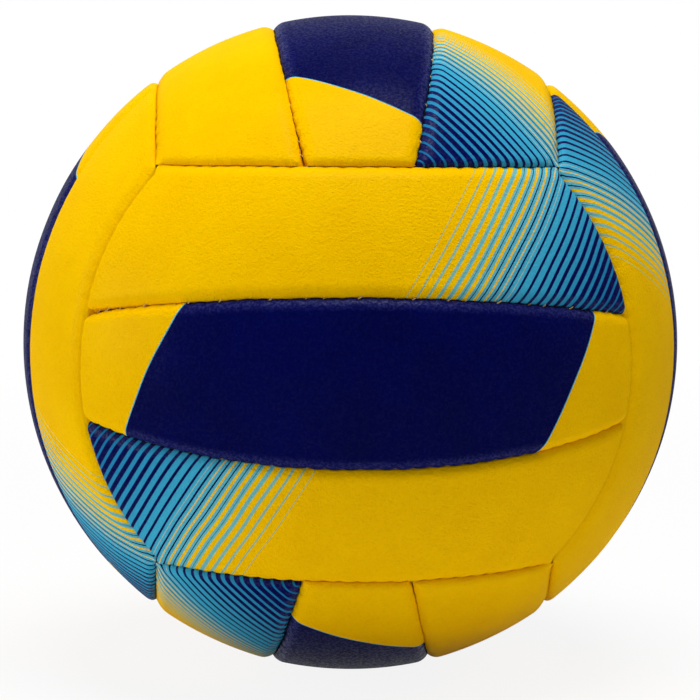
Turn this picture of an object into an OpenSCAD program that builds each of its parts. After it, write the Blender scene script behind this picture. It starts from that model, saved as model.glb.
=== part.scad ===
/* [Ball] */
// Diameter of the inflated ball
ball_d = 210; // [207:0.5:213]

/* [Panels] */
// Width of a middle strip, along the surface at the middle of its face
middle_w = 51.8; // [50:0.1:54]
// Width of a side strip, along the surface at the middle of its face
side_w = 40.4; // [39:0.1:42]
// Distance from the centre of the ball to the plane of a strip seam
seam_bow = 1.8; // [1:0.1:2.6]
// Thickness of the synthetic leather
skin_t = 1; // [0.8:0.1:1.2]
// Depth of a turned-in hem, which is that of the skin and its padding
hem_depth = 5; // [4.5:0.1:6]
// Distance from a seam at which a panel starts to round off
shoulder_w = 4.2; // [3.6:0.1:4.8]
// Radius of that rounding
shoulder_r = 7.8; // [7:0.1:9]
// Gap between the two hems of a seam
seam_gap = 0.1; // [0.06:0.02:0.2]
// Glue between a skin and what lies under it
glue_t = 0.15; // [0.1:0.05:0.2]

/* [Sewing thread] */
// Diameter of the thread that lies in a seam
thread_d = 0.7; // [0.5:0.1:0.9]
// Clearance between the thread and the shoulders that it lies on
thread_fit = 0.05; // [0.02:0.01:0.1]
// Distance from a thread's end to the seam that its own seam runs into
thread_stop = 1.5; // [1.2:0.1:2]

/* [Bladder] */
// Clearance between the padding and the bladder
bladder_fit = 0.3; // [0.2:0.05:0.5]
// Wall of the rubber bladder
bladder_t = 0.9; // [0.6:0.1:1.2]

/* [Valve] */
// Hole through the panel for the neck of the valve
valve_hole_d = 8; // [7.6:0.1:9]
// Clearance round the neck, the barrel, the flange and the patch
valve_fit = 0.2; // [0.1:0.05:0.3]
// Depth of the neck's rim below the surface of the ball
rim_depth = 0.4; // [0.2:0.1:0.8]
// Diameter of the flange that is bonded to the bladder
flange_d = 22; // [18:0.5:26]
// Thickness of that flange
flange_t = 1.2; // [0.8:0.1:1.6]
// Diameter of the barrel inside the bladder
barrel_d = 11; // [10:0.5:13]
// Length of the barrel below the bladder's outer face
barrel_l = 15; // [13:0.5:18]
// Diameter of the cloth patch that backs the hole
patch_d = 34; // [30:1:40]
// Thickness of that patch
patch_t = 0.5; // [0.3:0.1:0.8]

/* [Valve core] */
// Diameter of the core's stem
core_d = 5; // [4.6:0.1:5.4]
// Clearance between the core and the housing
core_fit = 0.05; // [0.03:0.01:0.1]
// Diameter of the core's head, which sits in the neck
head_d = 6.4; // [6:0.1:6.6]
// Thickness of the head
head_t = 1.2; // [0.8:0.1:1.6]
// Depth of the head below the neck's rim
head_depth = 0.2; // [0.1:0.1:0.5]
// Diameter of the bulb that holds the core in the housing
bulb_d = 7.4; // [6.8:0.1:8]
// Length of the bulb
bulb_l = 4; // [3:0.5:5]
// Length of the core from its head to its tip
core_l = 18; // [17:0.5:19]
// Diameter of the inflating needle's way in
needle_d = 2; // [1.8:0.1:2.4]
// Length of the straight part of that way
needle_l = 9; // [8:0.5:10]
// Diameter of the funnel at its mouth
funnel_d = 3.4; // [3:0.1:4]
// Depth of the funnel
funnel_l = 1; // [0.8:0.1:1.4]

/* [Hidden] */
$fn = 96;
deg = 180 / PI;
ball_r = ball_d / 2;
padding_r = ball_r - hem_depth;
padding_lead = skin_t + glue_t;
bladder_r = padding_r - bladder_fit;

// The height by which a rounding's centre is raised, so that it meets the skin at a clean edge
edge_lift = 0.03;
// The sweep of a rounding's cut, from the skin down past the seam
cut_sweep = 70;
// The reach of that cut, as a share of the rounding's radius
cut_reach_share = 1.5;
// How far a cut or a hollow runs past the face that it opens
overrun = 1;

// The ball has six alike faces of three strips. One face is drawn with its strips along X and
// its middle at the top of the Z axis, and is then turned to each of its six places.
corner_share = 1 / sqrt(3);
middle_half = middle_w / 2 / ball_r * deg;
face_half = (middle_w / 2 + side_w) / ball_r * deg;

// A strip seam lies in a plane that passes the centre by the bow
strip_polar = acos(seam_bow / ball_r);
strip_tilt = 90 - strip_polar - middle_half;

// A long edge lies in the plane through two corners of the cube and the middle of the edge
edge_run = [corner_share - sin(face_half), corner_share - cos(face_half)];
edge_normal = [-edge_run[1], edge_run[0]] / norm(edge_run);
edge_polar = acos(edge_normal * [sin(face_half), cos(face_half)]);
edge_tilt = atan2(edge_normal[1], edge_normal[0]);

// The thread's centre lies where it clears the roundings on both sides of its seam
shoulder_angle = shoulder_w / ball_r * deg;
shoulder_centre_r = ball_r - shoulder_r + edge_lift;
thread_clear = shoulder_r + thread_d / 2 + thread_fit;
thread_off = shoulder_centre_r * sin(shoulder_angle);
thread_r = shoulder_centre_r * cos(shoulder_angle) + sqrt(thread_clear * thread_clear - thread_off * thread_off);

// A strip seam ends at the neighbouring face's long edge, and a long edge at the cube's corners
strip_lean = atan2(sin(edge_tilt), cos(edge_tilt) * cos(strip_tilt));
strip_pull = norm([sin(edge_tilt), cos(edge_tilt) * cos(strip_tilt)]);
strip_level = cos(edge_polar) - cos(strip_polar) * cos(edge_tilt) * sin(strip_tilt);
strip_end = strip_lean + acos(strip_level / (sin(strip_polar) * strip_pull));
edge_end = asin(corner_share / sin(edge_polar));

// Heights along the valve's axis, from the centre of the ball
rim_z = ball_r - rim_depth;
neck_d = valve_hole_d - 2 * valve_fit;
flange_low_r = bladder_r + glue_t;
flange_top_r = flange_low_r + flange_t;
barrel_z = bladder_r - barrel_l;
head_z = rim_z - head_depth;
stem_z = head_z - head_t;
core_z = head_z - core_l;
bulb_z = core_z + bulb_l;
needle_z = head_z - funnel_l - needle_l;

FACES = ["front", "back", "bottom", "top", "left", "right"];
STRIPS = [["lower", "middle", "upper"], ["left", "middle", "right"], ["front", "middle", "rear"]];
VALVE_FACE = 1;
MIDDLE = 1;

function panel_name(f, s) = str(FACES[f], "_", STRIPS[floor(f / 2)][s]);
function skin_name(f, s) = str(panel_name(f, s), "_skin");
function pad_name(f, s) = str(panel_name(f, s), "_pad");
function thread_name(f) = str(FACES[f], "_thread");

// Turns what is drawn on the top face to face f
module on_face(f)
  rotate(120 * floor(f / 2), [1, 1, 1]) rotate([0, 0, 180 * (f % 2)]) rotate([90, 0, 0]) children();

// Puts the high side strip in the place of the low one
module in_strip(s) mirror([0, s == 0 ? 1 : 0, 0]) children();

// A sphere whose poles lie away from the panels of its face
module ball(r) rotate([0, 90, 0]) sphere(r);

// The axes that the seams turn about
module on_strip_axis() rotate([strip_tilt - 90, 0, 0]) children();
module on_edge_axis() rotate([edge_tilt - 90, 0, 0]) children();
module on_end_axis(flip) mirror([flip, 0, 0]) rotate([0, edge_tilt, 0]) children();

// A panel's sides: 0 and 1 are its ends, 2 the side towards the face's middle, 3 the other side
function side_polar(middle, i) = i < 2 ? edge_polar : (middle || i == 2) ? strip_polar : edge_polar;
function side_outward(middle, i) = i < 2 ? -1 : middle ? 1 : i == 2 ? -1 : 1;
module at_side(middle, i) {
  if (i < 2) on_end_axis(i) children();
  else if (middle) mirror([0, i - 2, 0]) on_strip_axis() children();
  else if (i == 2) on_strip_axis() children();
  else on_edge_axis() children();
}

// Everything past a seam's plane, moved in by lead. Outward 1 keeps what is below the plane.
module past_seam(polar, outward, lead)
  translate([0, 0, ball_r * cos(polar) + outward * (ball_d - lead)]) cube(2 * ball_d, center = true);

// The ring that rounds a panel's border off, lead below the skin's outer face
module shoulder_cut(polar, outward, lead) {
  r = shoulder_r - lead;
  lean = polar + outward * shoulder_angle;
  centre = shoulder_centre_r * [sin(lean), cos(lean)];
  function aim(turn) = [sin(lean - outward * turn), cos(lean - outward * turn)];
  reach = r * cut_reach_share;
  far_reach = reach / cos(cut_sweep / 2);
  rotate_extrude() difference() {
    polygon([
      centre,
      centre + reach * aim(0),
      centre + far_reach * aim(cut_sweep / 2),
      centre + reach * aim(cut_sweep)
    ]);
    translate(centre) circle(r);
  }
}

// A panel with square borders, lead inside the skin's outer face, down to low_r
module square_panel(middle, lead, low_r) difference() {
  difference() {
    ball(ball_r - lead);
    for (i = [0 : 3]) at_side(middle, i)
      past_seam(side_polar(middle, i), side_outward(middle, i), seam_gap / 2 + lead);
  }
  ball(low_r);
}

// The same panel with its borders rounded, one after another
module panel(middle, lead, low_r, i = 3) difference() {
  if (i == 0) square_panel(middle, lead, low_r);
  else panel(middle, lead, low_r, i - 1);
  at_side(middle, i) shoulder_cut(side_polar(middle, i), side_outward(middle, i), lead);
}

// A round piece of a shell between two radii, at the middle of its face
module shell_disc(d, low_r, high_r) difference() {
  intersection() {
    ball(high_r);
    cylinder(h = ball_r, d = d);
  }
  ball(low_r);
}

// A round rod along the valve's axis
module rod(d, low_z, high_z) translate([0, 0, low_z]) cylinder(h = high_z - low_z, d = d);

// The synthetic leather, with its borders turned in as hems
module skin(middle, pierced) difference() {
  difference() {
    panel(middle, 0, padding_r);
    panel(middle, skin_t, padding_r - overrun);
  }
  if (pierced) rod(valve_hole_d, padding_r, ball_r + overrun);
}

// The padding that is glued inside a skin, with the room that the valve takes
module pad(middle, pierced) difference() {
  difference() {
    panel(middle, padding_lead, padding_r);
    if (pierced) rod(valve_hole_d, padding_r - overrun, ball_r);
  }
  if (pierced) {
    shell_disc(patch_d + 2 * valve_fit, ball_r - padding_lead - patch_t - glue_t, ball_r);
    shell_disc(flange_d + 2 * valve_fit, padding_r - overrun, flange_top_r + valve_fit);
  }
}

module panel_skin(f, s) color(s == MIDDLE ? "midnightblue" : "gold")
  on_face(f) in_strip(s) skin(s == MIDDLE, f == VALVE_FACE && s == MIDDLE);

module panel_pad(f, s) color("linen")
  on_face(f) in_strip(s) pad(s == MIDDLE, f == VALVE_FACE && s == MIDDLE);

// A thread in the seam at this polar angle, that runs to both sides as far as the end angle
module thread(polar, end) {
  half = end - thread_stop / ball_r * deg;
  rotate_extrude(angle = 2 * half, start = 270 - half)
    translate(thread_r * [sin(polar), cos(polar)]) circle(d = thread_d);
}

module face_thread(f) color("tan") on_face(f) for (flip = [0, 1]) mirror([0, flip, 0]) {
  on_strip_axis() thread(strip_polar, strip_end);
  on_edge_axis() thread(edge_polar, edge_end);
}

// The air bladder, with the hole that the valve's barrel passes through
module bladder() color("dimgray") on_face(VALVE_FACE) difference() {
  difference() {
    ball(bladder_r);
    ball(bladder_r - bladder_t);
  }
  rod(barrel_d + 2 * valve_fit, barrel_z, ball_r);
}

// The cloth ring that is glued behind the valve's hole
module valve_patch() color("whitesmoke") on_face(VALVE_FACE) difference() {
  shell_disc(patch_d, ball_r - padding_lead - patch_t, ball_r - padding_lead);
  rod(valve_hole_d, padding_r, ball_r);
}

// The soft rubber housing, with its flange on the bladder and its neck in the panel's hole
module valve_housing() color("black") on_face(VALVE_FACE) difference() {
  union() {
    shell_disc(flange_d, flange_low_r, flange_top_r);
    rod(neck_d, barrel_z, rim_z);
    rod(barrel_d, barrel_z, flange_low_r + flange_t / 2);
  }
  rod(head_d + 2 * core_fit, stem_z - core_fit, rim_z + overrun);
  rod(core_d + 2 * core_fit, barrel_z - overrun, rim_z);
  rod(bulb_d + 2 * core_fit, barrel_z - overrun, bulb_z + core_fit);
}

// The core, with its head, its stem, the bulb that holds it and the needle's way in
module valve_core() color("darkslategray") on_face(VALVE_FACE) difference() {
  union() {
    rod(head_d, stem_z, head_z);
    rod(core_d, bulb_z, stem_z);
    translate([0, 0, core_z]) cylinder(h = bulb_l, d1 = core_d, d2 = bulb_d);
  }
  rod(needle_d, needle_z, head_z);
  translate([0, 0, head_z - funnel_l]) cylinder(h = funnel_l, d1 = needle_d, d2 = funnel_d);
}

for (f = [0 : 5], s = [0 : 2]) {
  panel_skin(f, s);
  panel_pad(f, s);
}
for (f = [0 : 5]) face_thread(f);
bladder();
valve_patch();
valve_housing();
valve_core();
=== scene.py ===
import math
from collections import namedtuple

import bpy
import numpy as np
from mathutils import Matrix, Vector


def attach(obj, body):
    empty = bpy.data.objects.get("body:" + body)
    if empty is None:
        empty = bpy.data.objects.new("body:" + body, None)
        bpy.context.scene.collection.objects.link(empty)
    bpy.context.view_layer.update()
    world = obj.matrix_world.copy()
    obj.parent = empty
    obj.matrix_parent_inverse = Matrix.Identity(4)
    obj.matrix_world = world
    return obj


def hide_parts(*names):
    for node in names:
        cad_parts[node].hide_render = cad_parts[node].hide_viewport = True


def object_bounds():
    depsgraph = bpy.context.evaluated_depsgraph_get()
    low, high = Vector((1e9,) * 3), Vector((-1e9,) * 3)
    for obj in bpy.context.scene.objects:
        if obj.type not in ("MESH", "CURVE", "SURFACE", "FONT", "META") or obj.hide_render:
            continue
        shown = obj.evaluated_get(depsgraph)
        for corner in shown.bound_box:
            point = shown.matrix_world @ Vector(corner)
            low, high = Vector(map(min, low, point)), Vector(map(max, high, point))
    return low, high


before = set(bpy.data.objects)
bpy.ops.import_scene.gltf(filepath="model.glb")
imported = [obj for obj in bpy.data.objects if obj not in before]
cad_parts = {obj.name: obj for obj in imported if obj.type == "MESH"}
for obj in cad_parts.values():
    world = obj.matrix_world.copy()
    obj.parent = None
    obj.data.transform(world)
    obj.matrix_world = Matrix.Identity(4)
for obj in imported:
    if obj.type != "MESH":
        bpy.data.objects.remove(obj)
cad_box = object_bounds()


# Bladder.
# A ball of black butyl rubber that holds the air. It is moulded in two halves and dusted with
# talc, so that it slides behind the padding while it is blown up.

ball_r = cad_box[1].z
mm = 0.001
BUTYL_BLACK = (24, 24, 26)
TALC_GREY = (92, 91, 88)
talc_cloud_w = 14 * mm
talc_cover = 0.6
pore_w = 0.7 * mm
pore_h = 0.04 * mm
mould_line_w = 0.5 * mm
mould_line_h = 0.25 * mm


def paint(red, green, blue):
    """A colour given from 0 to 255, turned by the sRGB curve into the linear light that a
    shader reads."""
    shares = np.array([red, green, blue]) / 255
    linear = np.where(shares < 0.04045, shares / 12.92, ((shares + 0.055) / 1.055) ** 2.4)
    return (*linear.tolist(), 1.0)


class Wire:
    """What one node of a finish gives out. Sums on wires add Math nodes."""

    def __init__(self, finish, socket):
        self.finish = finish
        self.socket = socket

    def math(self, operation, *values):
        return self.finish.node("ShaderNodeMath", {"operation": operation}, dict(enumerate(values)))

    def sine(self):
        return self.math("SINE", self)

    def fraction(self):
        return self.math("FRACT", self)

    def __add__(self, other):
        return self.math("ADD", self, other)

    def __radd__(self, other):
        return self.math("ADD", other, self)

    def __sub__(self, other):
        return self.math("SUBTRACT", self, other)

    def __rsub__(self, other):
        return self.math("SUBTRACT", other, self)

    def __mul__(self, other):
        return self.math("MULTIPLY", self, other)

    def __rmul__(self, other):
        return self.math("MULTIPLY", other, self)

    def __truediv__(self, other):
        return self.math("DIVIDE", self, other)

    def __abs__(self):
        return self.math("ABSOLUTE", self)

    def between(self, low, high):
        """0 where the wire is at low, 1 where it is at high, and a soft step from one to the other."""
        return self.finish.node(
            "ShaderNodeMapRange",
            {"interpolation_type": "SMOOTHSTEP"},
            {"Value": self, "From Min": low, "From Max": high},
        )


class Finish:
    """The nodes of a new material or of the room, which all end in one shader."""

    def __init__(self, owner):
        owner.use_nodes = True
        self.owner = owner
        self.tree = owner.node_tree
        output = next(node for node in self.tree.nodes if node.type.startswith("OUTPUT"))
        self.surface = output.inputs["Surface"]
        self.shader = self.surface.links[0].from_node

    def node(self, kind, settings=None, inputs=None, out=0):
        """Adds a node, with its settings first, and then a value or a wire for each input named. Gives
        the wire of one of its outputs."""
        made = self.tree.nodes.new(kind)
        for key, value in (settings or {}).items():
            if key == "stops":
                self.set_stops(made.color_ramp, value)
            else:
                setattr(made, key, value)
        for key, value in (inputs or {}).items():
            self.feed(made.inputs[key], value)
        return Wire(self, made.outputs[out])

    def set_stops(self, ramp, stops):
        while len(ramp.elements) < len(stops):
            ramp.elements.new(1.0)
        for element, (position, colour) in zip(ramp.elements, stops):
            element.position = position
            element.color = colour

    def feed(self, socket, value):
        if isinstance(value, Wire):
            self.tree.links.new(value.socket, socket)
        else:
            socket.default_value = value

    def place(self):
        """Object coordinates, in metres."""
        return self.node("ShaderNodeTexCoord", out="Object")

    def map(self, name):
        """The two coordinates of one of the piece's own UV maps."""
        vector = self.node("ShaderNodeUVMap", {"uv_map": name})
        parts = self.node("ShaderNodeSeparateXYZ", inputs={0: vector})
        return parts, Wire(self, parts.socket.node.outputs[1])

    def noise(self, vector, grain, detail=2.0, roughness=0.5, distortion=0.0):
        """Cloudy noise whose patches measure grain, in metres, with values about one half."""
        inputs = {
            "Vector": vector,
            "Scale": 1 / grain,
            "Detail": detail,
            "Roughness": roughness,
            "Distortion": distortion,
        }
        return self.node("ShaderNodeTexNoise", inputs=inputs)

    def seen(self):
        """1 for a ray that shows the surface to the eye, straight, mirrored or through glass, and 0
        for a ray that only carries its light."""
        rays = ("Is Camera Ray", "Is Glossy Ray", "Is Transmission Ray")
        straight, mirrored, through = [self.node("ShaderNodeLightPath", out=ray) for ray in rays]
        return straight + mirrored + through

    def mix(self, share, first, second):
        """The first colour where share is 0 and the second where it is 1."""
        return self.node("ShaderNodeMix", {"data_type": "RGBA"}, {0: share, 6: first, 7: second}, out=2)

    def bump(self, height):
        """A normal for a relief whose height is in metres."""
        return self.node("ShaderNodeBump", inputs={"Strength": 1.0, "Distance": 1.0, "Height": height})

    def finish(self, **sockets):
        """Feeds the shader, with an underscore for each space in a socket's name."""
        for key, value in sockets.items():
            self.feed(self.shader.inputs[key.replace("_", " ")], value)
        return self.owner


def dress(node, material):
    """Gives a piece of the frame its material. Its shape and place stay as they are."""
    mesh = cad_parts[node].data
    mesh.materials.clear()
    mesh.materials.append(material)


def talc_rubber():
    """Black rubber with talc in clouds, and the raised line where the mould's halves met."""
    rubber = Finish(bpy.data.materials.new("bladder_rubber"))
    place = rubber.place()
    talc = rubber.noise(place, talc_cloud_w, detail=5.0, roughness=0.65).between(0.45, 0.75)
    pores = rubber.noise(place, pore_w, detail=3.0)
    from_mould_line = abs(rubber.node("ShaderNodeSeparateXYZ", inputs={0: place}, out="X"))
    mould_line = from_mould_line.between(mould_line_w, 0.0)
    return rubber.finish(
        Base_Color=rubber.mix(talc * talc_cover, paint(*BUTYL_BLACK), paint(*TALC_GREY)),
        Roughness=0.5 + 0.3 * talc,
        Normal=rubber.bump(pores * pore_h + mould_line * mould_line_h),
    )


dress("bladder", talc_rubber())


# Valve.
# A soft rubber housing is bonded to the bladder and its neck stands in a hole of the panel. The
# core is pushed into it from outside, and a woven patch that is glued behind the hole backs it.

PATCH_WHITE = (214, 208, 194)
PATCH_GREY = (150, 143, 130)
HOUSING_BLACK = (20, 20, 22)
HOUSING_WORN = (46, 46, 48)
CORE_GREY = (58, 62, 66)
CORE_WORN = (88, 92, 95)
yarn_pitch = 0.5 * mm
yarn_h = 0.06 * mm
yarn_edge = 0.2
fuzz_w = 0.2 * mm
fuzz_h = 0.015 * mm
fuzz_share = 0.3
scuff_w = 1.2 * mm
scuff_h = 0.03 * mm
dust_cloud_w = 4 * mm


def woven_cloth():
    """Plain weave: two sets of round yarns that cross, each over the other in turn. A yarn's height
    is the sine of its place over the pitch, and the sign of both cosines' product says which set
    lies on top."""
    cloth = Finish(bpy.data.materials.new("patch_cloth"))
    place = cloth.place()
    across = cloth.node("ShaderNodeSeparateXYZ", inputs={0: place}, out="X")
    along = cloth.node("ShaderNodeSeparateXYZ", inputs={0: place}, out="Z")
    warp_turn = across * (math.pi / yarn_pitch)
    weft_turn = along * (math.pi / yarn_pitch)
    crossing = (warp_turn + math.pi / 2).sine() * (weft_turn + math.pi / 2).sine()
    over = crossing.between(-yarn_edge, yarn_edge)
    yarns = abs(warp_turn.sine()) * over + abs(weft_turn.sine()) * (1 - over)
    fuzz = cloth.noise(place, fuzz_w, detail=3.0)
    # Painted shade in the gaps between the yarns, mixed with a random tone of the fuzz.
    shade = (yarns * (1 - fuzz_share) + fuzz * fuzz_share).between(0.1, 0.9)
    return cloth.finish(
        Base_Color=cloth.mix(shade, paint(*PATCH_GREY), paint(*PATCH_WHITE)),
        Roughness=0.9 - 0.1 * fuzz,
        Normal=cloth.bump(yarns * yarn_h + fuzz * fuzz_h),
    )


def moulded_rubber(name, dark, worn):
    """Soft rubber out of a polished mould, a little dusty, with fine scuffs."""
    rubber = Finish(bpy.data.materials.new(name))
    place = rubber.place()
    scuffs = rubber.noise(place, scuff_w, detail=6.0, roughness=0.7, distortion=0.6)
    dust = rubber.noise(place, dust_cloud_w, detail=3.0).between(0.4, 0.8)
    return rubber.finish(
        Base_Color=rubber.mix(dust * 0.5 + scuffs * 0.3, paint(*dark), paint(*worn)),
        Roughness=0.38 + 0.3 * scuffs,
        Normal=rubber.bump(scuffs * scuff_h),
    )


dress("valve_patch", woven_cloth())
dress("valve_housing", moulded_rubber("valve_rubber", HOUSING_BLACK, HOUSING_WORN))
dress("valve_core", moulded_rubber("core_rubber", CORE_GREY, CORE_WORN))


# Padding.
# Behind each panel lies a piece of foam that is lined with cotton on the bladder's side. The ball
# has six faces of three strips, and each piece is cut to the outline that the seams give its strip.

middle_w = 51.8 * mm
side_w = 40.4 * mm
seam_bow = 1.8 * mm
seam_gap = 0.1 * mm
skin_t = 1 * mm
glue_t = 0.15 * mm
hem_depth = 5 * mm
padding_r = ball_r - hem_depth
FACES = ("front", "back", "bottom", "top", "left", "right")
STRIP_NAMES = (("lower", "middle", "upper"), ("left", "middle", "right"), ("front", "middle", "rear"))
STRIPS = ((-2, -1), (-1, 1), (1, 2))
LOW, MIDDLE, HIGH = 0, 1, 2
VALVE_FACE = 1
pad_shoulder_w = 4.3 * mm
pad_shoulder_r = 5.2 * mm
PAD_COLUMNS, PAD_ROWS = 96, 28
PAD_HOLE = np.array([4, 2])
valve_hole_r = 4 * mm
hole_blend = 2
patch_dent_r, patch_dent = 17.2 * mm, 0.65 * mm
flange_dent_r, flange_dent = 11.2 * mm, 1.3 * mm
dent_edge = 1.5 * mm
FOAM_WHITE = (226, 222, 210)
FOAM_SHADE = (186, 180, 166)
cell_w = 0.6 * mm
cell_h = 0.15 * mm
glue_cloud_w = 9 * mm
glue_share = 0.7

# A seam is a plane: its tilt is the angle by which the plane's normal leans out of the face, and the
# sine of its rise is the plane's distance from the ball's centre, over the ball's radius. A long edge
# passes through two corners of the cube.
corner_share = 1 / math.sqrt(3)
middle_half = middle_w / 2 / ball_r
face_half = (middle_w / 2 + side_w) / ball_r
strip_rise = math.asin(seam_bow / ball_r)
strip_tilt = strip_rise - middle_half
edge_run = Vector((corner_share - math.sin(face_half), corner_share - math.cos(face_half)))
edge_normal = Vector((-edge_run.y, edge_run.x)).normalized()
edge_rise = math.asin(edge_normal.dot(Vector((math.sin(face_half), math.cos(face_half)))))
edge_tilt = math.atan2(edge_normal.y, edge_normal.x)
STATIONS = (-2, -1, 1, 2)
TILTS = (-edge_tilt, -strip_tilt, strip_tilt, edge_tilt)
RISES = (-edge_rise, -strip_rise, strip_rise, edge_rise)
half_length = ball_r * (math.pi / 2 + edge_tilt - edge_rise)


def strip_name(face, row):
    """The name of a strip as the record has it, such as front_middle."""
    return f"{FACES[face]}_{STRIP_NAMES[face // 2][row]}"


def on_face(face, points):
    """Points of a face drawn with its strips along X and its middle up Z, turned to its place: two
    faces lie opposite each other, and each pair of faces is the last one turned round the cube's
    diagonal."""
    turn = 1 - 2 * (face % 2)
    x, y, z = np.moveaxis(points, -1, 0)
    return np.roll(np.stack([turn * x, -turn * z, y], -1), face // 2, -1)


def panel_points(u, t, strip, inset, radius):
    """Where two planes and a sphere meet. One plane swings from the strip's low seam to its high one
    as t runs from station to station, the other from end to end as u runs from -1 to 1, and both
    sweeps stop short of the seams by inset. With a and b for the planes' normals, h and g for their
    distances over the radius and k for the cosine between a and b, the point is the sum of
    (h - kg) / (1 - kk) along a, (g - kh) / (1 - kk) along b, and what is left of the radius along
    their cross product."""
    low, high = np.interp(strip, STATIONS, RISES)
    low = math.asin(math.sin(low) + inset / ball_r)
    high = math.asin(math.sin(high) - inset / ball_r)
    end = math.asin(math.sin(edge_rise) + inset / ball_r)
    tilt = np.interp(t, STATIONS, TILTS)
    lean = u * (math.pi / 2 + edge_tilt)
    h = np.sin(np.interp(t, strip, (low, high))) * ball_r / radius
    g = -np.sin(end * u) * ball_r / radius
    a_y, a_z = np.cos(tilt), np.sin(tilt)
    b_x, b_z = np.cos(lean), -np.sin(lean)
    k = a_z * b_z
    along_a = (h - k * g) / (1 - k * k)
    along_b = (g - k * h) / (1 - k * k)
    left = 1 - along_a**2 - along_b**2 - 2 * along_a * along_b * k
    cross = -np.sqrt(left / (1 - k * k))
    x = along_b * b_x + cross * a_y * b_z
    y = along_a * a_y + cross * a_z * b_x
    z = along_a * a_z + along_b * b_z - cross * a_y * b_x
    return np.stack([x, y, z], -1) * np.asarray(radius)[..., None]


# For each seam of a strip: the normal of its plane, the direction of its middle, the axis that it
# runs along, its rise, and 1 where the panel lies below the plane or -1 where it lies above it.
Seam = namedtuple("Seam", "normal middle axis rise side")


def strip_seam(station, side):
    """The seam along a station of a face: its plane leans out of the face by the station's tilt."""
    tilt, rise = np.interp(station, STATIONS, TILTS), np.interp(station, STATIONS, RISES)
    normal = np.array([0, math.cos(tilt), math.sin(tilt)])
    middle = np.array([0, -math.sin(tilt), math.cos(tilt)])
    return Seam(normal, middle, 0, rise, side)


def end_seam(end):
    """The long edge across a strip's end, where end is -1 or 1."""
    normal = np.array([end * math.sin(edge_tilt), 0, math.cos(edge_tilt)])
    middle = np.array([end * math.cos(edge_tilt), 0, -math.sin(edge_tilt)])
    return Seam(normal, middle, 1, edge_rise, -1)


def seams_of(strip):
    """The low and the high seam of a strip, and the seams at its low and its high end."""
    low, high = strip
    return [strip_seam(low, -1), strip_seam(high, 1), end_seam(-1), end_seam(1)]


def seam_places(points, strip):
    """For the low and the high seam and both ends: the distance of each point from that seam, and
    its place along the seam, counted from the seam's middle."""
    p = points / np.linalg.norm(points, axis=-1, keepdims=True)
    found = []
    for seam in seams_of(strip):
        distance = seam.side * (seam.rise - np.arcsin(p @ seam.normal))
        turn = np.arctan2(p[..., seam.axis], p @ seam.middle)
        found.append((distance, math.cos(seam.rise) * turn))
    return np.array(found) * ball_r


def nearness(distances, width):
    """0 at width and further from the seams, 1 at a seam, and a little over 1 in a corner."""
    near = np.clip(1 - distances / width, 0, 1)
    return np.sum(near**6, axis=0) ** (1 / 6)


def fall(distances, width, radius):
    """How far a surface drops towards its nearest seams: nothing beyond width, and from there on an
    arc of that radius, which is the radius less the root of (its square less that of the way in)."""
    way_in = width * nearness(distances, width)
    return radius - np.sqrt(radius**2 - way_in**2)


def border(grid):
    """The outer ring of a grid of vertex numbers, the way round that keeps the grid on its left."""
    return np.concatenate([grid[:-1, 0], grid[-1, :-1], grid[:0:-1, -1], grid[0, :0:-1]])


def band(upper, lower):
    """The faces between two rings. Where the lower ring has fewer points, each face takes in as
    many edges of the upper ring as one edge of the lower ring spans."""
    step = len(upper) // len(lower)
    upper, lower = np.append(upper, upper[0]), np.append(lower, lower[0])
    starts = np.arange(len(lower) - 1)
    columns = [upper[starts * step], lower[:-1], lower[1:]]
    columns += [upper[starts * step + k] for k in range(step, 0, -1)]
    return np.stack(columns, -1).tolist()


def sheet_faces(grid, outward=True, keep=None):
    """The quads of a grid of vertex numbers, without those that keep leaves out."""
    quads = np.stack([grid[:-1, :-1], grid[1:, :-1], grid[1:, 1:], grid[:-1, 1:]], -1)
    if not outward:
        quads = quads[..., ::-1]
    return (quads.reshape(-1, 4) if keep is None else quads[keep]).tolist()


def new_piece(name, points, faces, maps=()):
    """A mesh object from its points and faces, smoothly shaded, with a UV map for each pair of values
    that a point has."""
    mesh = bpy.data.meshes.new(name)
    mesh.from_pydata(points.reshape(-1, 3).tolist(), [], faces)
    corners = np.zeros(len(mesh.loops), np.int32)
    mesh.loops.foreach_get("vertex_index", corners)
    for map_name, values in maps:
        layer = mesh.uv_layers.new(name=map_name)
        layer.data.foreach_set("uv", values.reshape(-1, 2)[corners].astype(np.float32).ravel())
    mesh.polygons.foreach_set("use_smooth", np.ones(len(mesh.polygons), bool))
    piece = bpy.data.objects.new(name, mesh)
    bpy.context.scene.collection.objects.link(piece)
    return piece


def strip_grid(along, across, row, hole=None):
    """The places of a strip's grid as u from -1 to 1 and t from station to station. Where the strip is
    pierced, hole is how many columns and rows from the middle a ring of them lies that is moved onto
    the hole's circle: the ring's number is 1 there, and further out the circles fade into the rows."""
    strip = STRIPS[row]
    width = middle_w if row == MIDDLE else side_w
    x, y = np.meshgrid(along * half_length, across * width / 2, indexing="ij")
    if hole is not None:
        column = (np.arange(len(along)) - len(along) // 2)[:, None] / hole[0]
        line = (np.arange(len(across)) - len(across) // 2)[None, :] / hole[1]
        ring = np.maximum(np.abs(column), np.abs(line))
        angle = np.arctan2(line, column)
        straight = np.clip((ring - 1) / hole_blend, 0, 1)
        x = (1 - straight) * valve_hole_r * ring * np.cos(angle) + straight * x
        y = (1 - straight) * valve_hole_r * ring * np.sin(angle) + straight * y
    return x / half_length, (strip[0] + strip[1]) / 2 + y / width * (strip[1] - strip[0])


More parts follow.
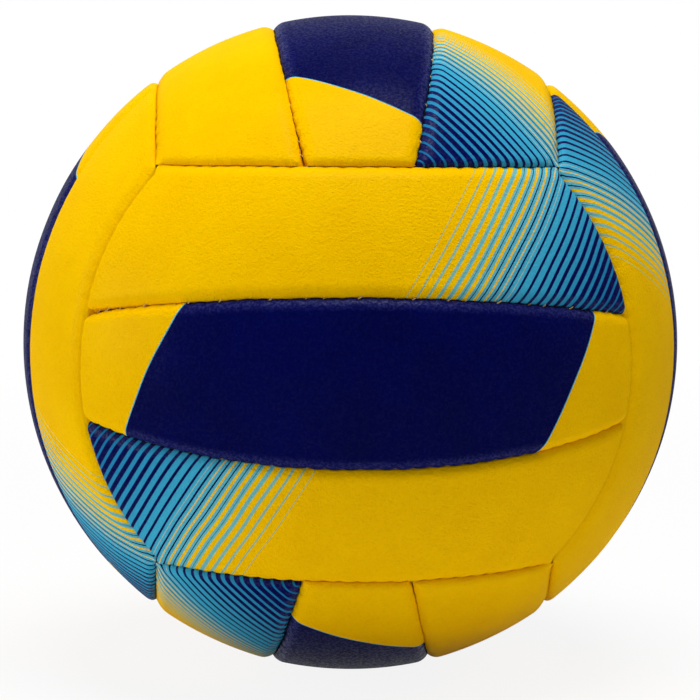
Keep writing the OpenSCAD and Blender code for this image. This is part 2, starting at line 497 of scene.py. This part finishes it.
def pierced_faces(outer, inner, hole, step=1):
    """The faces of an outer and an inner grid that a round hole runs through, and of the hole's wall.
    The inner grid is coarser by step."""
    faces, rings = [], []
    for grid, coarser, outward in ((outer, 1, True), (inner, step, False)):
        middle = np.array(grid.shape) // 2
        low, high = middle - hole // coarser, middle + hole // coarser
        keep = np.ones(np.array(grid.shape) - 1, bool)
        keep[low[0] : high[0], low[1] : high[1]] = False
        faces += sheet_faces(grid, outward, keep)
        rings.append(border(grid[low[0] : high[0] + 1, low[1] : high[1] + 1]))
    return faces + [corners[::-1] for corners in band(*rings)]


def dent(points, reach, depth):
    """How far foam gives way to a disc of that radius round the valve: all of the depth under the
    disc, and a soft step down to nothing beside it."""
    beside = np.clip((np.hypot(points[..., 0], points[..., 1]) - reach) / dent_edge, 0, 1)
    return depth * (1 - beside**2 * (3 - 2 * beside))


def pad_piece(face, row, material):
    """One pad: its outer face falls towards the seams, and its walls run down to its flat lining. The
    valve's pad has a hole for the neck, and dents for the patch outside and for the flange inside."""
    strip = STRIPS[row]
    hole = PAD_HOLE if face == VALVE_FACE and row == MIDDLE else None
    u, t = strip_grid(np.linspace(-1, 1, PAD_COLUMNS + 1), np.linspace(-1, 1, PAD_ROWS + 1), row, hole)
    inset = seam_gap / 2 + skin_t + glue_t
    points = panel_points(u, t, strip, inset, np.full_like(u, ball_r))
    distances = seam_places(points, strip)[:, 0]
    top_r = ball_r - skin_t - glue_t - fall(distances, pad_shoulder_w, pad_shoulder_r)
    low_r = np.full_like(u, padding_r)
    numbers = np.arange(u.size).reshape(u.shape)
    faces = band(border(numbers), border(numbers + u.size))
    if hole is None:
        faces += sheet_faces(numbers) + sheet_faces(numbers + u.size, False)
    else:
        faces += pierced_faces(numbers, numbers + u.size, hole)
        top_r = top_r - dent(points, patch_dent_r, patch_dent)
        low_r = low_r + dent(points, flange_dent_r, flange_dent)
    top = panel_points(u, t, strip, inset, top_r)
    low = panel_points(u, t, strip, inset, low_r)
    name = strip_name(face, row)
    pad = new_piece(f"{name}_foam", on_face(face, np.stack([top, low])), faces)
    pad.data.materials.append(material)
    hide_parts(f"{name}_pad")
    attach(pad, "root")


def glued_foam():
    """Off-white foam with fine cells, darker in patches where the glue has soaked in."""
    foam = Finish(bpy.data.materials.new("padding_foam"))
    place = foam.place()
    cells = foam.node("ShaderNodeTexVoronoi", inputs={"Vector": place, "Scale": 1 / cell_w})
    glue = foam.noise(place, glue_cloud_w, detail=4.0).between(0.35, 0.7)
    shade = glue * glue_share + cells * (1 - glue_share)
    return foam.finish(
        Base_Color=foam.mix(shade, paint(*FOAM_WHITE), paint(*FOAM_SHADE)),
        Roughness=0.95 - 0.1 * cells,
        Normal=foam.bump(cells * cell_h),
    )


padding = glued_foam()
for face in range(len(FACES)):
    for row in (LOW, MIDDLE, HIGH):
        pad_piece(face, row, padding)


# Panels.
# Eighteen pieces of printed synthetic leather with a fine pebbled grain. Each has its border turned
# in as a hem, the hems of neighbours are sewn together from inside, and the thread draws them down.

COLUMNS, ROWS = 344, 80
COARSER = 4
HOLE = np.array([8, 4])
crowd = 6
crowd_w = 1.2 * mm
CROWD_STEPS = 4000
shoulder_w = 4 * mm
shoulder_r = 5.2 * mm
fold_r = 0.2 * mm
fold_uneven = 0.3
stitch_hole_share = 1.5
stitch_pitch = 5.3 * mm
pucker_depth = 0.26 * mm
pucker_w = 1.4 * mm
pucker_uneven = 0.45
scallop = 0.2 * mm
scallop_w = 1.4 * mm
scallop_middle = 0.6
scallop_uneven = 0.5
mouth_fold_share = 2.5
mouth_gap = 1 * mm
mouth_l = 4 * mm
mouth_w = 2 * mm
corner_fill = 0.78
corner_w = 3 * mm
hem_top = 3.4 * mm
dimple_depth = 0.3 * mm
dimple_w = 7 * mm
ripple = 0.05 * mm
ripple_bend = 1.7
ripple_bend_l = 11 * mm
seam_wander = 0.16 * mm

# Hand work is never even. Each of these is a pair of waves, and a wave is given by its lengths in
# millimetres along X, Y and Z. STILL marks an axis along which it doesn't change, and a minus sign
# one along which it runs backwards.
STILL = math.inf
FOLD_WAVES = ((8.3, STILL, 6.1), (-12.9, 7.7, STILL))
PUCKER_WAVES = ((2.3, STILL, 3.7), (4.1, 2.9, STILL))
SCALLOP_WAVES = ((3.1, 4.3, STILL), (STILL, -5.9, 3.7))
RIPPLE_WAVES = ((7.3, STILL, STILL), (STILL, 9.7, 8.1))

# The seams wander along X, Y and Z by two waves each, with these lengths in millimetres.
WANDER_WAVES = ((3.1, 5.3, 4.7, -7.9), (3.3, 5.9, 5.1, 8.3), (2.9, 6.1, 4.3, -7.1))

# How far a strip's seam gapes where it runs into a long edge, as shares for each face: its low and
# its high seam, and of each the low and the high end.
MOUTH_SHARES = np.array(
    [
        [[0.04, 0.12], [1.00, 0.06]],
        [[0.15, 0.02], [0.10, 0.40]],
        [[0.15, 0.05], [0.35, 0.10]],
        [[0.06, 0.75], [0.20, 0.12]],
        [[0.10, 0.25], [0.02, 0.15]],
        [[0.30, 0.05], [0.12, 0.06]],
    ]
)

YELLOW = (251, 197, 0)
YELLOW_DEEP = (247, 191, 0)
NAVY = (1, 6, 78)
NAVY_DEEP = (1, 5, 68)
# The colour of the painted highlight that lies on the navy ink beside the seams.
NAVY_HIGHLIGHT = (48, 52, 116)
CYAN = (84, 176, 206)
# The dark of the painted shade in the folds, and of dirt with painted shade in the pits.
SHADE_AND_DIRT_DARK = (30, 22, 14)
BACKING = (196, 186, 166)
BAR_TINTS = (
    (0.0, (172, 190, 110)),
    (0.25, (110, 190, 196)),
    (0.5, (62, 172, 208)),
    (1.0, (26, 116, 172)),
)
pebble_w, pebble_h = 0.8 * mm, 0.40 * mm
grain_w, grain_h = 0.45 * mm, 0.15 * mm
crease_w, crease_h = 5 * mm, 0.10 * mm
seam_crease_h = 0.12 * mm
mottle_w = 22 * mm
ink_grain_w = 0.5 * mm
ink_relief = 0.6
# Painted highlight on the ink beside the seams: a base share, and more on the pebbles' tops.
ink_highlight, ink_highlight_tops = 0.15, 0.45
# Darkening: dirt with painted shade in the pits, painted shade in the folds, and more painted shade in
# the folds where the leather is inked.
pit_dirt_and_shade = 0.07
fold_painted_shade = 0.08
ink_fold_painted_shade = 0.7

# Each of these is where a share starts and where it is whole: first the distances from a seam in
# millimetres, and then the values of the pebbles' noise.
NEAR_SEAM = (7.0, 0.5)
SHOULDER_BAND = (4.5, 1.5)
IN_FOLD = (0.6, 0.2)
DEEP_IN_FOLD = (0.2, 0.0)
ON_BACK = (-0.4, -0.6)
TOPS = (0.4, 0.65)
PITS = (0.52, 0.3)

leather_sheen = 0.06
ink_sheen = 0.18
edge_sheen = 0.10
low_sheen, tops_sheen = 0.3, 1.4
sheen_roughness = 0.28
sheen_ior = 1.2

# The print's own sizes are millimetres on its map of the strip.
print_slant = 0.53
block_half = 68.4
block_shift = 1.0
block_ragged = 0.16
BLOCK_EDGE = (0.1, -0.05)
edge_line = 0.35
edge_line_blur = 0.15
bar_pitch = 3.2
bars_from = 20.0
bars_to = 92.0
bar_ragged = 0.10
light_bar_growth = 2.1
dark_bars_from = 0.2
dark_bar_growth = 0.95
bar_tip = 0.06
LIGHT_BAR_EDGE = (0.12, -0.08)
DARK_BAR_EDGE = (0.08, -0.06)


def crowded(count, length):
    """count + 1 places from -1 to 1, which stand closer near both hems so that the folds are round.
    Their crowding falls off as e to the power of minus the distance from the hem over crowd_w."""
    place = np.linspace(-1, 1, CROWD_STEPS + 1)
    crowding = 1 + crowd * np.exp((np.abs(place) - 1) * length / 2 / crowd_w)
    total = np.cumsum(crowding)
    total = (total - total[0]) / (total[-1] - total[0])
    return np.interp(np.linspace(0, 1, count + 1), total, place)


def wander(points, reach):
    """Slow waves along three axes that move neighbouring panels alike, as hand-fed leather does. With
    p and q for the places along the two other axes, each is the sine of (p / a + the sine of q / b)
    and the sine of (q / c + p / d). Each point keeps its distance from the ball's centre."""
    a, b, c, d = np.array(WANDER_WAVES).T * mm
    p, q = np.roll(points, -1, -1), np.roll(points, -2, -1)
    moved = points + reach / 2 * (np.sin(p / a + np.sin(q / b)) + np.sin(q / c + p / d))
    far, near = [np.linalg.norm(place, axis=-1, keepdims=True) for place in (moved, points)]
    return moved * near / far


def crossed(points, waves):
    """The product of two waves, from -1 to 1: each is the sine of the sum of x, y and z, each over
    its own length."""
    first, second = [np.sin(np.sum(points / (np.array(lengths) * mm), -1)) for lengths in waves]
    return first * second


def unevenness(points):
    """A slow rise and fall of the leather, from -1 to 1: two crossed waves, whose first is bent."""
    bend = ripple_bend * RIPPLE_WAVES[0][0] * mm * np.sin(points[..., 1] / ripple_bend_l)
    return crossed(points + bend[..., None] * (1, 0, 0), RIPPLE_WAVES)


def mouths(places, strip, face):
    """How far the low and the high seam of a strip gape beside each point: the share of the seam's
    nearer end, which fades along the seam, and a wide mouth is a long one. A long edge doesn't gape."""
    from_end = np.maximum(np.minimum(places[2, 0], places[3, 0]), 0)
    gapes = []
    for k, station in enumerate(strip):
        ends = MOUTH_SHARES[face, (station + 1) // 2] if abs(station) == 1 else (0, 0)
        share = np.where(places[k, 1] > 0, ends[1], ends[0])
        gapes.append(share * np.exp(-from_end / (mouth_l * (1 + share))))
    return gapes


def leather_drop(points, strip, face, pierced):
    """How far the leather lies below the ball's round: the soft shoulder, the tight fold at the seam,
    which opens at each stitch and where a strip's seam runs into another, the dimple that each stitch
    draws, a slow unevenness, and the hollow round the valve. Bunched hems fill a face's corners."""
    places = seam_places(points, strip)
    distances = np.maximum(places[:, 0], 0)
    from_end = np.minimum(distances[2], distances[3])
    closed = np.zeros_like(from_end)
    world = on_face(face, points)
    tightness = 1 + fold_uneven * crossed(world, FOLD_WAVES)
    drawn = np.cos(places[:, 1] * (math.pi / stitch_pitch)) ** 4
    gaping = mouth_fold_share * np.stack(mouths(places, strip, face) + [closed, closed])
    fold_w = fold_r * (tightness + stitch_hole_share * drawn**2 + gaping)
    turned = np.clip(1 - distances / fold_w, 0, 1)
    fold = np.max(fold_w * (1 - np.sqrt(1 - turned**2)), axis=0)
    soft = fall(distances, shoulder_w, shoulder_r)
    pull = 1 + pucker_uneven * crossed(world, PUCKER_WAVES)
    pucker = pucker_depth * pull * np.sum(drawn * np.exp(-distances / pucker_w), axis=0)
    long_edges = [k for k, station in enumerate(strip) if abs(station) == 2]
    in_corner = sum(np.exp(-(distances[k] ** 2 + from_end**2) / corner_w**2) for k in long_edges)
    drop = (soft + fold + pucker) * (1 - corner_fill * in_corner) + ripple * (1 + unevenness(world))
    if pierced:
        from_valve = np.hypot(points[..., 0], points[..., 1])
        drop = drop + dimple_depth * np.exp(-((from_valve / dimple_w) ** 2))
    return drop


def seam_sway(points, strip, face, depth):
    """Between two stitches the inner panel of a seam swells over its neighbour, and the seam's line
    becomes a row of small arcs. Both panels move alike, out from the middle of the seam's face. In a
    seam's mouth they move apart, least at the hems' lower edges."""
    places = seam_places(points, strip)
    distances = np.maximum(places[:, 0], 0)
    seams = seams_of(strip)
    arcs = np.abs(np.sin(places[:, 1] * (math.pi / stitch_pitch))) - scallop_middle
    swell = scallop * (1 + scallop_uneven * crossed(on_face(face, points), SCALLOP_WAVES))
    moved = arcs * swell * np.exp(-distances / scallop_w)
    outward = [*np.sign(strip), 1, 1]
    sway = sum(moved[k][..., None] * outward[k] * seam.normal for k, seam in enumerate(seams))
    for k, gape in enumerate(mouths(places, strip, face)):
        opened = mouth_gap * (1 - depth / hem_depth) * gape * np.exp(-distances[k] / mouth_w)
        sway = sway - opened[..., None] * seams[k].side * seams[k].normal
    return sway


def print_map(points, row):
    """Millimetres along and across the strip, as the print lay on the flat leather. Along counts from
    the strip's middle, and in a side strip both run towards its striped end."""
    side = row - MIDDLE
    lean = side * (middle_half + face_half) / 2
    x, y, z = np.moveaxis(points, -1, 0)
    sideways = math.cos(lean) * y - math.sin(lean) * z
    out = math.sin(lean) * y + math.cos(lean) * z
    along = np.arctan2(x, out)
    across = np.arcsin(sideways / np.linalg.norm(points, axis=-1))
    sign = side if side else 1
    return np.stack([along, across], -1) * sign * ball_r / mm


def seam_map(points, strip, back):
    """Millimetres from the nearest seam and along it. The leather's back has -1 for its distance."""
    places = seam_places(points, strip)
    nearest = np.argmin(places[:, 0], axis=0)
    values = np.take_along_axis(places, nearest[None, None], 0)[0] / mm
    return np.stack([np.full_like(values[0], -1) if back else np.maximum(values[0], 0), values[1]], -1)


def skin_piece(face, row, material):
    """One panel: the grained face, the wall of its hem down to the padding's depth, the hem's lower
    edge, and a coarser back. Each ring of the hem lies in the planes of the panel's seams."""
    strip = STRIPS[row]
    hole = HOLE if face == VALVE_FACE and row == MIDDLE else None
    width = middle_w if row == MIDDLE else side_w
    u, t = strip_grid(crowded(COLUMNS, 2 * half_length), crowded(ROWS, width), row, hole)
    coarse_u, coarse_t = u[::COARSER, ::COARSER], t[::COARSER, ::COARSER]
    gap = seam_gap / 2

    def layer(u, t, inset, depth=0.0, formed=True):
        """Points at a depth below the round, on planes moved in by inset, with the leather's form."""
        points = panel_points(u, t, strip, inset, np.full_like(u, ball_r))
        drop = leather_drop(points, strip, face, hole is not None) if formed else 0
        sway = seam_sway(points, strip, face, depth)
        return panel_points(u, t, strip, inset, ball_r - depth - drop * np.ones_like(u)) + sway

    rim_u, rim_t = border(u), border(t)
    low_u, low_t = border(coarse_u), border(coarse_t)
    layers = [
        layer(u, t, gap).reshape(-1, 3),
        layer(rim_u, rim_t, gap, hem_top, False),
        layer(low_u, low_t, gap, hem_depth, False),
        layer(low_u, low_t, gap + skin_t, hem_depth, False),
        layer(coarse_u, coarse_t, gap + skin_t, skin_t).reshape(-1, 3),
    ]
    starts = np.cumsum([0] + [len(points) for points in layers])
    front = np.arange(u.size).reshape(u.shape)
    rings = [np.arange(starts[k], starts[k + 1]) for k in (1, 2, 3)]
    rear = np.arange(starts[4], starts[5]).reshape(coarse_u.shape)
    faces = band(border(front), rings[0]) + band(rings[0], rings[1])
    faces += band(rings[1], rings[2]) + band(rings[2], border(rear))
    if hole is None:
        faces += sheet_faces(front) + sheet_faces(rear, False)
    else:
        faces += pierced_faces(front, rear, hole, COARSER)

    points = np.concatenate(layers)
    back = np.arange(len(points)) >= starts[3]
    seam = np.where(back[:, None], seam_map(points, strip, True), seam_map(points, strip, False))
    name = strip_name(face, row)
    skin = new_piece(
        f"{name}_leather",
        wander(on_face(face, points), seam_wander),
        faces,
        [("Print", print_map(points, row)), ("Seam", seam)],
    )
    skin.data.materials.append(material)
    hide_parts(f"{name}_skin")
    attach(skin, "root")


def leather(name, printed):
    """Synthetic leather: a pebbled grain, soft creases that deepen beside the seams, and a cloth
    backing on the inner side. A painted highlight lightens the navy ink on the shoulders beside the
    seams, most on the pebbles' tops, and painted shade darkens the folds, most on the ink. Dirt and
    painted shade darken the pits, and the ink shines more than the plain leather."""
    skin = Finish(bpy.data.materials.new(name))
    place = skin.place()
    from_seam = skin.map("Seam")[0]
    pebbles = skin.noise(place, pebble_w, detail=2.0, roughness=0.6, distortion=0.4)
    grain = skin.noise(place, grain_w, detail=2.0, roughness=0.6)
    creases = skin.noise(place, crease_w, detail=3.0, roughness=0.55, distortion=1.2)
    mottle = skin.noise(place, mottle_w, detail=4.0, roughness=0.6)
    shoulder_band = from_seam.between(*SHOULDER_BAND)
    tops = pebbles.between(*TOPS)
    pits = (pebbles * 0.7 + grain * 0.3).between(*PITS)

    colour, inked = printed(skin, mottle.between(0.3, 0.7))
    # Painted highlight: a pale navy laid on the ink beside the seams, most on the pebbles' tops.
    pale = shoulder_band * inked * (ink_highlight + ink_highlight_tops * tops)
    # Painted shade in the folds, darker on the ink, and dirt with painted shade in the pits.
    dirt_and_painted_shade = from_seam.between(*DEEP_IN_FOLD) * fold_painted_shade
    dirt_and_painted_shade = dirt_and_painted_shade + from_seam.between(*IN_FOLD) * inked * ink_fold_painted_shade + pits * pit_dirt_and_shade
    colour = skin.mix(dirt_and_painted_shade, skin.mix(pale, colour, paint(*NAVY_HIGHLIGHT)), paint(*SHADE_AND_DIRT_DARK))
    colour = skin.mix(from_seam.between(*ON_BACK), colour, paint(*BACKING))
    relief = (pebbles * pebble_h + grain * grain_h) * (1 + ink_relief * inked)
    relief = relief + creases * (crease_h + from_seam.between(*NEAR_SEAM) * seam_crease_h)
    sheen = (ink_sheen + edge_sheen * shoulder_band) * inked * (low_sheen + tops_sheen * tops)
    return skin.finish(
        Base_Color=colour,
        Roughness=0.42 + 0.12 * grain + 0.06 * mottle,
        Specular_IOR_Level=0.0,
        Coat_Weight=leather_sheen + sheen,
        Coat_Roughness=sheen_roughness,
        Coat_IOR=sheen_ior,
        Normal=skin.bump(relief),
    )


def block_print(skin, mottle):
    """The middle strips: a navy block whose ends are cut on the slant, with a thin light line. Gives
    the colour and the share of navy ink, which has more sheen."""
    along, across = skin.map("Print")
    ragged = skin.noise(skin.place(), ink_grain_w) * block_ragged
    past_end = abs(along - across * print_slant - block_shift) - block_half + ragged
    ground = skin.mix(mottle, paint(*YELLOW), paint(*YELLOW_DEEP))
    navy = skin.mix(mottle, paint(*NAVY), paint(*NAVY_DEEP))
    line = past_end.between(edge_line + edge_line_blur, edge_line)
    lined = skin.mix(line, ground, paint(*CYAN))
    inked = past_end.between(*BLOCK_EDGE)
    return skin.mix(inked, lined, navy), inked


def bar_print(skin, mottle):
    """The side strips: straight slanted bars that thicken towards one end. First light bars stand
    on the yellow, then they close up to a light ground, and dark bars grow in their middles. Gives
    the colour and the share of navy ink. A bar covers what lies nearer its middle than its growth."""
    along, across = skin.map("Print")
    ragged = skin.noise(skin.place(), ink_grain_w) * bar_ragged
    reach = along - across * print_slant
    growth = (reach - bars_from) / (bars_to - bars_from)
    from_middle = abs((reach / bar_pitch).fraction() - 0.5) * 2 + ragged
    light_edge = from_middle - growth * light_bar_growth
    dark_edge = from_middle - (growth - dark_bars_from) * dark_bar_growth
    light = light_edge.between(*LIGHT_BAR_EDGE) * growth.between(0.0, bar_tip)
    dark_tips = growth.between(dark_bars_from, dark_bars_from + bar_tip)
    dark = dark_edge.between(*DARK_BAR_EDGE) * dark_tips
    stops = [(position, paint(*tint)) for position, tint in BAR_TINTS]
    tints = skin.node("ShaderNodeValToRGB", {"stops": stops}, {0: growth})
    ground = skin.mix(mottle, paint(*YELLOW), paint(*YELLOW_DEEP))
    return skin.mix(dark, skin.mix(light, ground, tints), paint(*NAVY)), dark


middle_leather = leather("middle_leather", block_print)
side_leather = leather("side_leather", bar_print)
for face in range(len(FACES)):
    for row in (LOW, MIDDLE, HIGH):
        skin_piece(face, row, middle_leather if row == MIDDLE else side_leather)


# Sewing thread.
# A tan polyester thread holds the hems together. It goes over the seam and back under it from hem
# to hem, so that one short slanted stitch shows in the groove at each hole.

thread_r = 0.21 * mm
thread_reach = 0.6 * mm
thread_top = 1.5 * mm
thread_slack = 1.2 * mm
thread_rarity = 1.2
thread_low = 3.3 * mm
thread_stop = 2.4 * mm
thread_tail = 0.3
STITCH_STEPS = 12
THREAD_SIDES = 6

# The thread's tension rises and falls as a sine. These are its turns, in radians, from one stitch to
# the next and from one station to the next.
stitch_rhythm, station_rhythm = 2.4, 1.3

# How well the stitches of a face's threads show, as shares: its low and its high strip seam, and the
# long edges on both sides.
STITCH_SHARES = np.array(
    [
        [0.30, 1.00, 0.10, 0.20],
        [0.60, 0.30, 0.20, 0.10],
        [0.20, 0.50, 0.10, 0.30],
        [0.40, 0.70, 0.10, 0.20],
        [0.70, 0.30, 0.20, 0.10],
        [0.30, 0.80, 0.20, 0.30],
    ]
)
THREAD_TAN = (234, 196, 132)
THREAD_DARK = (186, 148, 92)
twist_pitch_mm = 0.8
ply_count = 2
ply_h = 0.05 * mm
fibre_w = 0.15 * mm
fibre_share = 0.3


def tube(path, radius):
    """A round tube along a path of points, closed at both ends, with the place along it and round it
    for a UV map. Each ring lies square to the path, turned by the ball's outward direction."""
    ahead = np.gradient(path, axis=0)
    ahead /= np.linalg.norm(ahead, axis=1, keepdims=True)
    side = np.cross(ahead, path)
    side /= np.linalg.norm(side, axis=1, keepdims=True)
    up = np.cross(side, ahead)
    turn = np.linspace(0, 2 * math.pi, THREAD_SIDES, endpoint=False)[None, :, None]
    rings = path[:, None] + radius * (np.cos(turn) * side[:, None] + np.sin(turn) * up[:, None])
    count = len(path)
    numbers = np.arange(count * THREAD_SIDES).reshape(count, THREAD_SIDES)
    wrapped = np.concatenate([numbers, numbers[:, :1]], 1)
    length = np.concatenate([[0], np.cumsum(np.linalg.norm(np.diff(path, axis=0), axis=1))]) / mm
    round_share = np.broadcast_to(np.arange(THREAD_SIDES) / THREAD_SIDES, numbers.shape)
    values = np.stack([np.broadcast_to(length[:, None], numbers.shape), round_share], -1)
    faces = sheet_faces(wrapped) + [numbers[0].tolist(), numbers[-1, ::-1].tolist()]
    return rings.reshape(-1, 3), faces, values.reshape(-1, 2)


def stitch_path(station, shown):
    """The thread in one seam: a flattened coil that turns once a stitch, over the groove and under
    it. Its depth goes from top to thread_low as the square of the sine of half a turn, and it swings
    across the seam's plane as the sine of a turn. It ends short of the seams that its own seam runs
    into. Where it is shown, the stitches lie high enough to be seen, some more and some less."""
    seam = strip_seam(station, 1)
    corner = panel_points(1.0, station, STRIPS[HIGH], 0, ball_r)
    ring_r = ball_r * math.cos(seam.rise)
    end = ring_r * math.atan2(corner[0], corner @ seam.middle) - thread_stop
    last = math.floor(end / stitch_pitch) + thread_tail
    turns = np.linspace(-last, last, round(2 * last * STITCH_STEPS) + 1)
    angle = turns * stitch_pitch / ring_r
    tension = 0.5 + 0.5 * np.sin(stitch_rhythm * np.round(turns) + station_rhythm * station)
    top = thread_top + thread_slack * (1 - shown * tension**thread_rarity)
    depth = top + (thread_low - top) * np.sin(math.pi * turns) ** 2
    level = ball_r * math.sin(seam.rise)
    out = np.sqrt((ball_r - depth) ** 2 - level**2)[:, None]
    path = out * (np.cos(angle)[:, None] * seam.middle + np.sin(angle)[:, None] * (1.0, 0.0, 0.0))
    return path + (level + thread_reach * np.sin(2 * math.pi * turns))[:, None] * seam.normal


def thread_finish():
    """Two-ply thread: slanted ridges wind round it, with painted shade between the plies, and its
    fibres vary its tone.
    """
    thread = Finish(bpy.data.materials.new("sewing_thread"))
    along, round_share = thread.map("Ply")
    turn = (along / twist_pitch_mm + round_share * ply_count) * (2 * math.pi)
    plies = 0.5 + 0.5 * turn.sine()
    fibre = thread.noise(thread.place(), fibre_w, detail=3.0)
    # Painted shade between the plies, mixed with a random tone of the fibres.
    shade = (plies * (1 - fibre_share) + fibre * fibre_share).between(0.15, 0.85)
    return thread.finish(
        Base_Color=thread.mix(shade, paint(*THREAD_DARK), paint(*THREAD_TAN)),
        Roughness=0.75 - 0.1 * fibre,
        Specular_IOR_Level=0.0,
        Normal=thread.bump(plies * ply_h),
    )


def face_thread(face, material):
    """The four threads that belong to one face: its two strip seams and its two long edges. Those on
    the low side are the ones on the high side, turned half round the face's middle."""
    points, faces, values = [], [], []
    start = 0
    for shown, (station, flip) in zip(STITCH_SHARES[face], ((1, -1), (1, 1), (2, -1), (2, 1))):
        rings, quads, places = tube(stitch_path(station, shown) * (flip, flip, 1), thread_r)
        points.append(rings)
        values.append(places)
        faces += [[corner + start for corner in quad] for quad in quads]
        start += len(rings)
    sewn = wander(on_face(face, np.concatenate(points)), seam_wander)
    thread = new_piece(f"{FACES[face]}_stitches", sewn, faces, [("Ply", np.concatenate(values))])
    thread.data.materials.append(material)
    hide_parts(f"{FACES[face]}_thread")
    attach(thread, "root")


polyester = thread_finish()
for face in range(len(FACES)):
    face_thread(face, polyester)


# Floor.
# A plain pale floor under the ball. Seen directly it is nearly white, and the ball's soft shadow
# stays on it.

FLOOR_WHITE = (244, 244, 244)
floor_reach = 40.0
floor_glow = 0.88
near_floor = 0.2
far_floor = 0.8
speckle_w = 3 * mm


def floor_finish():
    """A pale matt floor. For the view a share of plain white is laid over it, never on the ball."""
    floor = Finish(bpy.data.materials.new("floor_paper"))
    speckle = floor.noise(floor.place(), speckle_w, detail=2.0)
    floor.finish(Base_Color=paint(*FLOOR_WHITE), Roughness=0.85 + 0.1 * speckle)
    glow = floor.node("ShaderNodeEmission", inputs={"Color": (1, 1, 1, 1), "Strength": 1.0})
    matt = Wire(floor, floor.shader.outputs[0])
    away = floor.node("ShaderNodeVectorMath", {"operation": "LENGTH"}, {0: floor.place()}, out="Value")
    plain = away.between(near_floor, far_floor)
    share = floor.seen() * (floor_glow + (1 - floor_glow) * plain)
    floor.feed(floor.surface, floor.node("ShaderNodeMixShader", inputs={0: share, 1: matt, 2: glow}))
    return floor.owner


floor_corners = np.array([(-1, -1, 0), (1, -1, 0), (1, 1, 0), (-1, 1, 0)]) * floor_reach / 2
floor = new_piece("floor", floor_corners + (0, 0, cad_box[0].z), [[0, 1, 2, 3]])
floor.data.materials.append(floor_finish())


# Lights.
# One large soft box above the ball, a weak one from the left, and a pale room.

room_strength = 0.16

# For each lamp: its name, its place and its width in metres, and its power in watts.
LAMPS = (
    ("key_box", (0.05, -0.2, 1.3), 0.8, 18.8),
    ("side_box", (-1.55, -0.15, 0.1), 0.8, 12.0),
)

for name, place, size, power in LAMPS:
    box = bpy.data.lights.new(name, "AREA")
    box.size = size
    box.energy = power
    lamp = bpy.data.objects.new(name, box)
    lamp.location = place
    lamp.rotation_euler = (-Vector(place)).to_track_quat("-Z", "Y").to_euler()
    bpy.context.scene.collection.objects.link(lamp)

room = Finish(bpy.data.worlds.new("room"))
strength = room_strength + (1 - room_strength) * room.seen()
bpy.context.scene.world = room.finish(Color=(1, 1, 1, 1), Strength=strength)


# Camera.
# A long lens a little above the ball, turned as the photograph was taken.

azimuth = math.radians(-1.756)
elevation = math.radians(7.036)
roll = math.radians(0.439)
distance_in_radii = 9.067

# In pixels of the picture: its width, the lens's focal length, and the place of the ball's centre.
picture = 700
focal_length = 2948.0
centre_x, centre_y = 350.3, 342.1

level = math.cos(elevation)
back = Vector((math.sin(azimuth) * level, -math.cos(azimuth) * level, math.sin(elevation)))
level_right = Vector((math.cos(azimuth), math.sin(azimuth), 0))
level_up = back.cross(level_right)
right = level_right * math.cos(roll) + level_up * math.sin(roll)
up = level_up * math.cos(roll) - level_right * math.sin(roll)
lens = bpy.data.cameras.new("camera")
lens.sensor_width = 36
lens.lens = focal_length / picture * lens.sensor_width
lens.shift_x = 0.5 - centre_x / picture
lens.shift_y = centre_y / picture - 0.5
camera = bpy.data.objects.new("camera", lens)
turn = Matrix((right, up, back)).transposed().to_4x4()
camera.matrix_world = Matrix.Translation(back * ball_r * distance_in_radii) @ turn
bpy.context.scene.collection.objects.link(camera)
bpy.context.scene.camera = camera
bpy.context.scene.view_settings.view_transform = "Standard"
